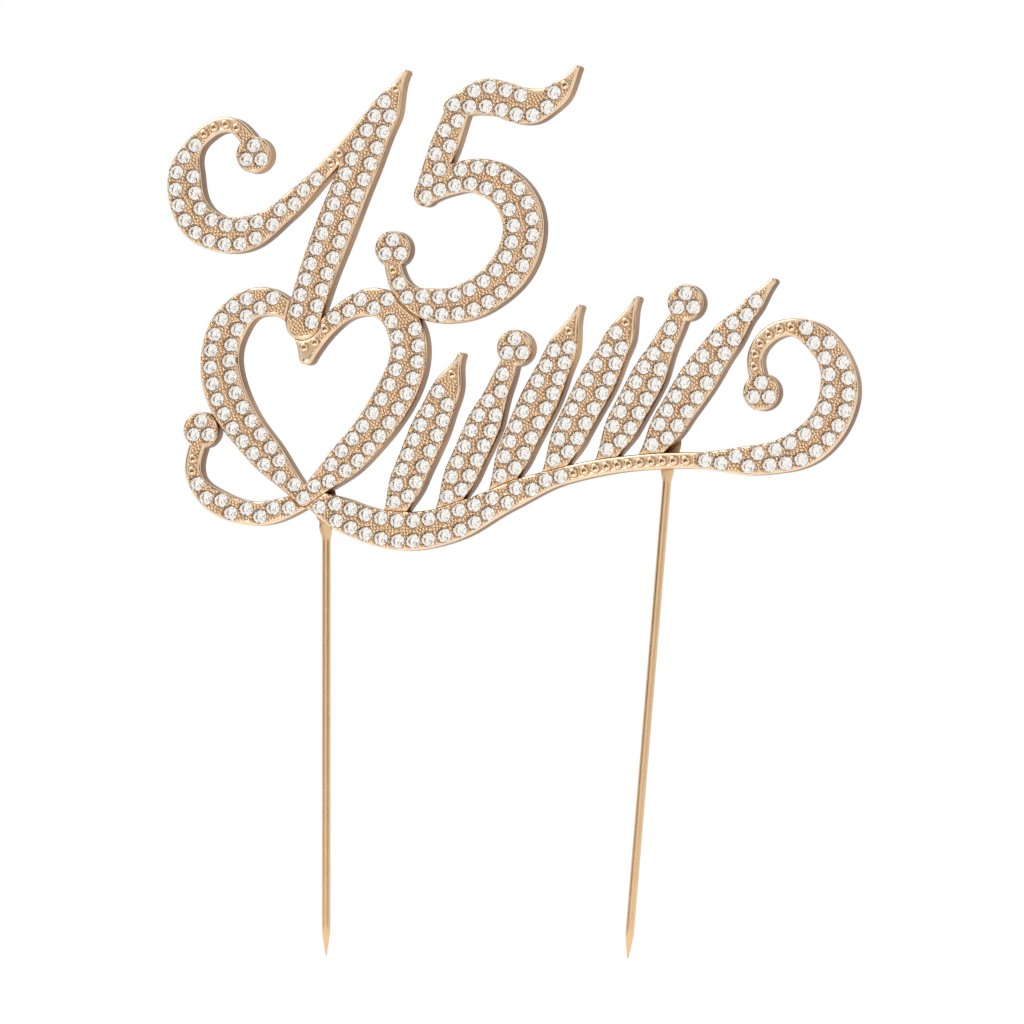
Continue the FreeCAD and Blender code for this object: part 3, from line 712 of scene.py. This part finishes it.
def prong_skin(sizes, name, seed):
    """A wire with a ground point below and a flat paddle above: superellipses |x/a|^n + |y/b|^n = 1 along a line.

    Half width a, half thickness b, the middle's shift backwards and the exponent n change smoothly from the
    round wire to the paddle, whose end is a half circle. Hammer marks dent the side of the paddle that shows.
    """
    pin = Pin(name)
    length = np.linalg.norm(pin.end - pin.foot)
    start, bend = length - sizes.paddle_length, length - sizes.paddle_width
    tapered = start + sizes.paddle_taper
    along = np.concatenate([
        TIP_ROWS, np.linspace(POINT_GAPS[0], sizes.point_length - POINT_GAPS[1], POINT_ROWS),
        np.linspace(sizes.point_length, start, WIRE_ROWS), np.linspace(start, tapered, TAPER_ROWS)[1:],
        np.linspace(tapered, bend, PADDLE_ROWS)[1:],
        bend + sizes.paddle_width * np.sin(np.linspace(0, LAST_RING, END_ROWS))[1:]])
    flat = smooth_step((along - start) / sizes.paddle_taper)
    ground = np.clip(along / sizes.point_length, 0, 1)
    tip = np.clip(along / TIP, 0, 1)
    radius = sizes.point_radius + (pin.radius - sizes.point_radius) * ground
    radius *= np.maximum(np.sqrt(tip * (2 - tip)), TIP_LEAST)
    from_end = np.clip((along - bend) / sizes.paddle_width, 0, 1)
    half_width = (radius + (sizes.paddle_width - pin.radius) * flat) * np.sqrt(1 - from_end ** 2)
    half_width *= 1 - EDGE_DENT * flat * (1 + waves(along, EDGE_WAVE, seed))
    thin = pin.radius - sizes.paddle_thickness / 2
    thick = ((radius - thin * flat) * (1 - END_THIN * from_end ** 3))[:, None]
    power = (2 / (2 + SQUARE * flat))[:, None]
    angle = math.tau * np.arange(WIRE_SIDES) / WIRE_SIDES
    cos, sin = np.cos(angle), np.sin(angle)
    x = half_width[:, None] * np.sign(cos) * np.abs(cos) ** power
    y = thick * np.sign(sin) * np.abs(sin) ** power
    marks = 1 + waves(along[:, None] + MARK_SLANT * x, MARK_WAVE, seed + 1)
    y += -sizes.hammer_mark * marks * flat[:, None] * np.clip(y / thick, 0, 1) - thin * flat[:, None]
    poles = pin.place(np.zeros(2), -thin * flat[[0, -1]], along[[0, -1]])
    skin = Skin()
    skin.add(*loft(pin.place(x, y, np.broadcast_to(along[:, None], x.shape)), *poles))
    return skin


def mound(skin, middle, up, half_width, half_length, height, sizes, seed):
    """A puddle of filler on the back: height times (1 - r^2)^1.25 over an ellipse, its edge and top a bit uneven.

    The power above one makes it run out thin, as filler does where it wets the metal.
    """
    share = np.sin(np.linspace(0, math.pi / 2, MOUND_ROWS))[:0:-1, None]
    angle = math.tau * np.arange(MOUND_SIDES) / MOUND_SIDES
    chance = np.random.default_rng(seed).uniform(0, math.tau, len(LOBES))
    lobes = sum(np.sin(k * angle + phase) / k for k, phase in zip(LOBES, chance)) / LOBE_SUM
    reach = 1 - sizes.ripple * (1 + lobes)
    x = share * reach * half_width * np.cos(angle)
    z = share * reach * half_length * np.sin(angle)
    dimples = np.sin(x / DIMPLE_WAVES[0] + chance[0]) * np.sin(z / DIMPLE_WAVES[1] + chance[1])
    y = height * (1 - share ** 2) ** THINNING * (1 - sizes.ripple * (1 + dimples) / 2)
    rows = middle + x[..., None] * np.cross(BACKWARDS, up) + z[..., None] * up + y[..., None] * BACKWARDS
    corners, *faces = loft(rows, middle, middle + BACKWARDS * height * (1 - sizes.ripple / 2))
    skin.add(corners, *(group[:, ::-1] for group in faces))


def bead_skin(sizes, prong, seed):
    """The filler that holds a prong's paddle: one long mound over it."""
    pin = Pin(prong)
    low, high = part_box(prong + "_braze")
    middle = pin.at((low.z + high.z) / 2)
    middle[1] = BACK_Y
    skin = Skin()
    mound(skin, middle, pin.up, sizes.bead_reach, sizes.bead_length / 2, high.y - BACK_Y, sizes, seed)
    return skin


def drops_skin(sizes, seed):
    """The round mounds across the joints between castings."""
    skin, reach, up = Skin(), sizes.drop_reach, np.array((0, 0, 1))
    for number, (x, _, z) in enumerate(solids("joint_braze_drops")[2]):
        mound(skin, np.array((x, BACK_Y, z)), up, reach, reach, sizes.drop_height, sizes, seed + number)
    return skin


# ---- materials ----
METAL = {"Metallic": 1.0}
HOLLOW_DULL = 0.22  # roughness that the bottom of a hollow adds


def join(node, inputs):
    """Fills a node's inputs: from another node's first output or a given one by a link, or else with the value."""
    for socket, value in inputs.items():
        if isinstance(value, bpy.types.Node):
            value = value.outputs[0]
        if isinstance(value, bpy.types.NodeSocket):
            node.id_data.links.new(value, node.inputs[socket])
        else:
            node.inputs[socket].default_value = value


def add(tree, kind, inputs=(), **settings):
    """Adds a shader node of a kind to a tree, with its own settings, and joins its inputs."""
    node = tree.nodes.new("ShaderNode" + kind)
    for name, value in settings.items():
        setattr(node, name, value)
    join(node, dict(inputs))
    return node


def uneven(tree, vector, across, octaves, least, most, shade_and_dull):
    """A value between least and most in patches so many mm across, and higher by sunk deep in a hollow."""
    noise = add(tree, "TexNoise", {"Vector": vector, "Scale": 1 / (across * MM), "Detail": octaves})
    spread = add(tree, "MapRange", {"Value": noise, "To Min": least, "To Max": most})
    # Deep in a hollow, a colour takes painted shade, and a roughness takes dullness.
    hollow = add(tree, "Attribute", attribute_name=HOLLOW).outputs["Fac"]
    return add(tree, "Math", {0: hollow, 1: shade_and_dull, 2: spread}, operation="MULTIPLY_ADD")


def surface(name, constants, tones=(), share=None, gloss=None, relief=None, run=(1, 1, 1), turn=0):
    """A material: constants on its shader, and noise in its colour, its roughness and its relief.

    The share of the second tone and the roughness are each (mm across, octaves, least, most), and the relief is
    (mm across, octaves, strength, mm deep). Noise in the last two is stretched where run is less than one, and
    turned about Y.
    """
    made = bpy.data.materials.new(name)
    made.use_nodes = True
    tree = made.node_tree
    shader = tree.nodes["Principled BSDF"]
    join(shader, constants)
    place = add(tree, "TexCoord").outputs["Object"]
    marks = add(tree, "Mapping", {"Vector": place, "Rotation": (0, math.radians(turn), 0), "Scale": run})
    if tones:
        first, second = ((*tone, 1.0) for tone in tones)
        mixed = uneven(tree, place, *share, 1.0)
        tone = add(tree, "Mix", {"Factor": mixed, 6: first, 7: second}, data_type="RGBA")
        join(shader, {"Base Color": tone.outputs[2]})
    if gloss:
        join(shader, {"Roughness": uneven(tree, marks, *gloss, HOLLOW_DULL)})
    if relief:
        across, octaves, strength, deep = relief
        high = add(tree, "TexNoise", {"Vector": marks, "Scale": 1 / (across * MM), "Detail": octaves})
        bump = add(tree, "Bump", {"Height": high, "Strength": strength, "Distance": deep * MM})
        join(shader, {"Normal": bump})
    return made


def plated_gold(finish):
    """Champagne gold plate on a tumbled zinc casting: bright rims, and duller hollows in painted shade.

    The dents of tumbling are about 0.1 mm across. They are drawn at 0.3 mm, so that they show.
    """
    return surface("plated_cast_gold_painted_shade", METAL, (finish.gold, finish.gold_shade_and_flux), share=(2.5, 3, -0.12, 0.18),
                   gloss=(0.3, 4, 0.14, 0.3), relief=(0.3, 4, 0.25, 0.02))


def cast_wall(finish):
    """The same plate on walls that no wheel reached: satin, pitted by the mould, and darkened as painted shade.

    Such pits are about 0.1 mm across. They are drawn at 0.35 mm, so that they show.
    """
    # Painted shade: the walls' colour is darkened, and darker still in random patches 14 mm across.
    return surface("plated_mould_skin_painted_shade", METAL, (finish.gold_wall_shade_and_patches, finish.gold_wall_deep_shade), share=(14, 1, -0.8, 2.4),
                   gloss=(0.35, 5, 0.3, 0.5), relief=(0.35, 5, 0.4, 0.04))


def belted_back(finish):
    """The same plate on a back dressed on an abrasive belt: satin, with short scratches that run one way.

    Such scratches are about 0.05 mm wide. They are drawn at 0.18 mm, so that they show.
    """
    return surface("plated_belted_back", METAL, (finish.gold_back, finish.gold_wall_shade_and_patches), share=(6, 3, -0.1, 0.5),
                   gloss=(0.18, 3, 0.2, 0.5), relief=(0.18, 3, 0.5, 0.03), run=(0.06, 1, 1), turn=12)


def drawn_wire(finish):
    """Plated steel wire: fine lines along it, left by the drawing die.

    Such lines are about 0.02 mm wide. They are drawn at 0.12 mm, so that they show.
    """
    return surface("plated_drawn_wire", METAL, (finish.wire, finish.gold_wall_shade_and_patches), share=(5, 2, 0, 0.35),
                   gloss=(0.12, 3, 0.16, 0.36), relief=(0.12, 3, 0.2, 0.01), run=(1, 1, 0.03))


def brazing(finish):
    """Plated brazing filler: smooth from melting, with a faint orange peel and duller patches of flux."""
    return surface("plated_brazing", METAL, (finish.braze, finish.gold_shade_and_flux), share=(1.6, 4, -0.6, 0.9),
                   gloss=(1.6, 4, 0.28, 0.52), relief=(0.7, 2, 0.5, 0.06))


def crown_glass():
    """Lead-free crystal glass, pressed and polished: clear, with sharp facets and a trace of polishing haze."""
    return surface("pressed_crystal_glass", {"IOR": 1.56, "Transmission Weight": 1.0, "Base Color": (1, 1, 1, 1)},
                   gloss=(0.5, 3, -0.01, 0.04))


def silver_foil(finish):
    """Silver deposited on the back of the glass and lacquered: a mirror seen through the stone."""
    return surface("silver_foil_back", {**METAL, "Base Color": (*finish.foil, 1.0)}, gloss=(0.3, 2, 0.03, 0.13))


def stone_glue(finish):
    """Clear two-part epoxy, yellowed a little: a glossy skin over a cloudy body."""
    return surface("epoxy_glue", {"Roughness": 0.18, "IOR": 1.5}, (finish.resin, finish.resin_deep),
                   share=(0.6, 3, -0.2, 0.8), relief=(0.6, 3, 0.3, 0.03))


# ---- stage ----
FLAGS = (((0.85, -0.5, -0.1), 26), ((-0.85, -0.5, 0.3), 10), ((-0.1, -0.55, -0.6), 12), ((0.1, -0.85, 0.5), 10),
         ((0.6, -0.8, -0.2), 10))  # the direction each black flag stands in, and its half angle in degrees
FLAG_EDGE = 4  # half the width of a flag's soft edge, in degrees
FLAG_LEVEL = 0.06  # brightness of a flag
FRONT_ENDS, BEHIND_ENDS = (-0.93, -0.82), (-0.35, -0.05)  # the Y of directions that the room changes between
FADE_ENDS = (0.08, 0.3)  # how far from the topper the card turns plain white, in metres
FLOOR_REACH = np.array((4.0, 1.5, 0.6, 0.2))  # radii of the floor's rings of corners
FLOOR_SIDES = 64


def paper(spot):
    """Matt white card, a little cloudy, that turns plain white away from the topper and so hides the horizon."""
    made = surface("white_card", {"Roughness": 0.9}, (linear("F7F6F4"), linear("FDFCFB")), share=(3, 4, 0, 1))
    tree = made.node_tree
    place = add(tree, "TexCoord").outputs["Object"]
    away = add(tree, "VectorMath", {0: place, 1: spot}, operation="DISTANCE").outputs["Value"]
    path = add(tree, "LightPath").outputs
    seen = path["Is Camera Ray"]
    for ray in ("Is Glossy Ray", "Is Transmission Ray"):
        seen = add(tree, "Math", {0: seen, 1: path[ray]}, operation="MAXIMUM")
    fade = add(tree, "MapRange", {"Value": away, "From Min": FADE_ENDS[0], "From Max": FADE_ENDS[1]},
               interpolation_type="SMOOTHSTEP")
    share = add(tree, "Math", {0: fade, 1: seen}, operation="MULTIPLY")
    white = add(tree, "Emission", {"Color": (1, 1, 1, 1), "Strength": 1.0})
    both = add(tree, "MixShader", {0: share, 1: tree.nodes["Principled BSDF"], 2: white})
    join(tree.nodes["Material Output"], {"Surface": both})
    return made


def floor(spot):
    """A flat disc: rings of corners round the spot below the topper."""
    rings = circles(np.zeros((1, 2)), 1.0, FLOOR_SIDES) * FLOOR_REACH[:, None, None]
    corners, sides, _, middle = loft(np.insert(rings, 2, 0, axis=2) + np.array(spot), spot, spot)
    skin = Skin()
    skin.add(corners, sides, middle)
    return skin.piece("floor", [paper(spot)])


def aimed(name, data, place, target):
    """A lamp or a camera that stands at a place and faces a target."""
    made = bpy.data.objects.new(name, data)
    made.location = place
    made.rotation_euler = (target - place).to_track_quat("-Z", "Y").to_euler()
    bpy.context.scene.collection.objects.link(made)
    return made


def softbox(name, place, target, width, height, watts):
    """A rectangular lamp that faces the object."""
    lamp = bpy.data.lights.new(name, "AREA")
    lamp.shape, lamp.size, lamp.size_y, lamp.energy = "RECTANGLE", width, height, watts
    aimed(name, lamp, Vector(place), target)


def room(stage):
    """The world: plain white to the camera, and to the object a room of a brightness that goes by direction.

    The room is bright in front and dim to the sides, with white behind the object. Black flags stand in it, and
    give stones and rims their dark facets.
    """
    world = bpy.data.worlds.new("studio")
    bpy.context.scene.world = world
    world.use_nodes = True
    tree = world.node_tree
    way = add(tree, "TexCoord").outputs["Generated"]
    back = add(tree, "SeparateXYZ", {0: way}).outputs["Y"]
    front, behind = (add(tree, "MapRange", {"Value": back, "From Min": ends[0], "From Max": ends[1],
                                            "To Min": low, "To Max": high}, interpolation_type="SMOOTHSTEP")
                     for ends, low, high in ((FRONT_ENDS, stage.room, stage.side), (BEHIND_ENDS, 0.0, 1.0)))
    level = add(tree, "Math", {0: front, 1: behind}, operation="MAXIMUM")
    for flag, reach in FLAGS:
        near = add(tree, "VectorMath", {0: way, 1: Vector(flag).normalized()}, operation="DOT_PRODUCT")
        far, close = (math.cos(math.radians(reach + edge)) for edge in (FLAG_EDGE, -FLAG_EDGE))
        left = add(tree, "MapRange", {"Value": near.outputs["Value"], "From Min": far, "From Max": close,
                                      "To Min": 1.0, "To Max": FLAG_LEVEL}, interpolation_type="SMOOTHSTEP")
        level = add(tree, "Math", {0: level, 1: left}, operation="MULTIPLY")
    path = add(tree, "LightPath").outputs
    plain = add(tree, "Math", {0: path["Is Diffuse Ray"], 1: stage.plain}, operation="MULTIPLY")
    for least in (plain, path["Is Camera Ray"]):
        level = add(tree, "Math", {0: level, 1: least}, operation="MAXIMUM")
    join(tree.nodes["Background"], {"Color": (1, 1, 1, 1), "Strength": level})


def camera(stage, middle):
    """A camera a little to the right of the front, aimed at the middle of the object."""
    lens = bpy.data.cameras.new("camera")
    lens.sensor_fit, lens.angle = "HORIZONTAL", stage.field
    turn = Vector((math.sin(stage.azimuth), -math.cos(stage.azimuth), 0))
    place = Vector((middle.x, middle.y, stage.height)) + turn * stage.distance
    bpy.context.scene.camera = aimed("camera", lens, place, middle)


# ---- operators ----
CAST_TURN, TURN = 50, 60  # edges that turn by more degrees than this stay sharp on castings, and on the rest
WIRE_SEED, BEAD_SEED, DROP_SEED = 40, 60, 80


def settle(skin, name, materials, turn, node):
    """Makes a piece of a skin. It rides on the body and stands for a CAD node, which it hides."""
    made = skin.piece(name, materials, turn)
    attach(made, BODY)
    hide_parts(node)


class TOPPER_OT_castings(bpy.types.Operator):
    """Replaces each casting by its plated skin, with rims, bed, seats, grains and buttons"""
    bl_idname = "topper.castings"
    bl_label = "Castings"

    def execute(self, context):
        scene = context.scene
        metals = [coat(scene.topper_finish) for coat in (plated_gold, cast_wall, belted_back)]
        for casting in CASTINGS:
            skin = casting_skin(scene.topper_castings, casting)
            settle(skin, casting + "_casting", metals, CAST_TURN, casting)
        return {"FINISHED"}


class TOPPER_OT_stones(bpy.types.Operator):
    """Replaces the stones by faceted glass with a silver back"""
    bl_idname = "topper.stones"
    bl_label = "Stones"

    def execute(self, context):
        sizes = context.scene.topper_stones
        glass = [crown_glass(), silver_foil(context.scene.topper_finish)]
        for number, casting in enumerate(CASTINGS):
            skin = stone_skin(sizes, casting, sizes.seed + number)
            settle(skin, casting + "_crystals", glass, None, casting + "_stones")
        return {"FINISHED"}


class TOPPER_OT_glue(bpy.types.Operator):
    """Gives the drops of glue under the stones their material"""
    bl_idname = "topper.glue"
    bl_label = "Glue"

    def execute(self, context):
        resin = stone_glue(context.scene.topper_finish)
        for casting in CASTINGS:
            mesh = frame["nodes"][casting + "_glue"].data
            mesh.materials.clear()
            mesh.materials.append(resin)
        return {"FINISHED"}


class TOPPER_OT_prongs(bpy.types.Operator):
    """Replaces the prongs by drawn wire with a ground point and a hammered paddle"""
    bl_idname = "topper.prongs"
    bl_label = "Prongs"

    def execute(self, context):
        metal = [drawn_wire(context.scene.topper_finish)]
        for number, name in enumerate(sorted(PINS)):
            skin = prong_skin(context.scene.topper_wire, name, WIRE_SEED + 2 * number)
            settle(skin, name + "_wire", metal, TURN, name)
        return {"FINISHED"}


class TOPPER_OT_brazing(bpy.types.Operator):
    """Replaces the filler on the prongs and across the joints by mounds that run out thin"""
    bl_idname = "topper.brazing"
    bl_label = "Brazing"

    def execute(self, context):
        sizes = context.scene.topper_brazing
        metal = [brazing(context.scene.topper_finish)]
        for number, name in enumerate(sorted(PINS)):
            skin = bead_skin(sizes, name, BEAD_SEED + number)
            settle(skin, name + "_filler", metal, TURN, name + "_braze")
        settle(drops_skin(sizes, DROP_SEED), "joint_filler", metal, TURN, "joint_braze_drops")
        return {"FINISHED"}


class TOPPER_OT_stage(bpy.types.Operator):
    """Sets the floor, the soft lights, the room and the camera round the topper"""
    bl_idname = "topper.stage"
    bl_label = "Stage"

    def execute(self, context):
        stage = context.scene.topper_stage
        middle = (cad_low + cad_high) / 2
        floor(Vector((middle.x, 0, cad_low.z)))
        room(stage)
        softbox("key", (-0.6, -0.75, 0.9), middle, 0.9, 0.9, stage.key)
        softbox("fill", (0.7, -0.9, 0.5), middle, 0.5, 0.7, stage.fill)
        camera(stage, middle)
        context.scene.view_settings.view_transform = "Standard"
        return {"FINISHED"}


class TOPPER_PT_panel(bpy.types.Panel):
    """The sizes and colours of the topper, and a button for each group of pieces"""
    bl_label = "Topper"
    bl_idname = "TOPPER_PT_panel"
    bl_space_type = "VIEW_3D"
    bl_region_type = "UI"
    bl_category = "Topper"

    def draw(self, context):
        for operator in OPERATORS:
            self.layout.operator(operator.bl_idname)
        for name, group in GROUPS.items():
            box = self.layout.box()
            for key in group.__annotations__:
                box.prop(getattr(context.scene, name), key)


GROUPS = {
    "topper_castings": CastingProperties,
    "topper_stones": StoneProperties,
    "topper_wire": WireProperties,
    "topper_brazing": BrazeProperties,
    "topper_finish": FinishProperties,
    "topper_stage": StageProperties,
}
OPERATORS = (TOPPER_OT_castings, TOPPER_OT_stones, TOPPER_OT_glue, TOPPER_OT_prongs, TOPPER_OT_brazing,
             TOPPER_OT_stage)


def register():
    for kind in (*GROUPS.values(), *OPERATORS, TOPPER_PT_panel):
        bpy.utils.register_class(kind)
    for name, group in GROUPS.items():
        setattr(bpy.types.Scene, name, PointerProperty(type=group))


def unregister():
    for name in GROUPS:
        delattr(bpy.types.Scene, name)
    for kind in (TOPPER_PT_panel, *reversed(OPERATORS), *reversed(GROUPS.values())):
        bpy.utils.unregister_class(kind)


def main():
    register()
    bpy.ops.topper.castings()
    bpy.ops.topper.stones()
    bpy.ops.topper.glue()
    bpy.ops.topper.prongs()
    bpy.ops.topper.brazing()
    bpy.ops.topper.stage()


if __name__ == "__main__":
    main()
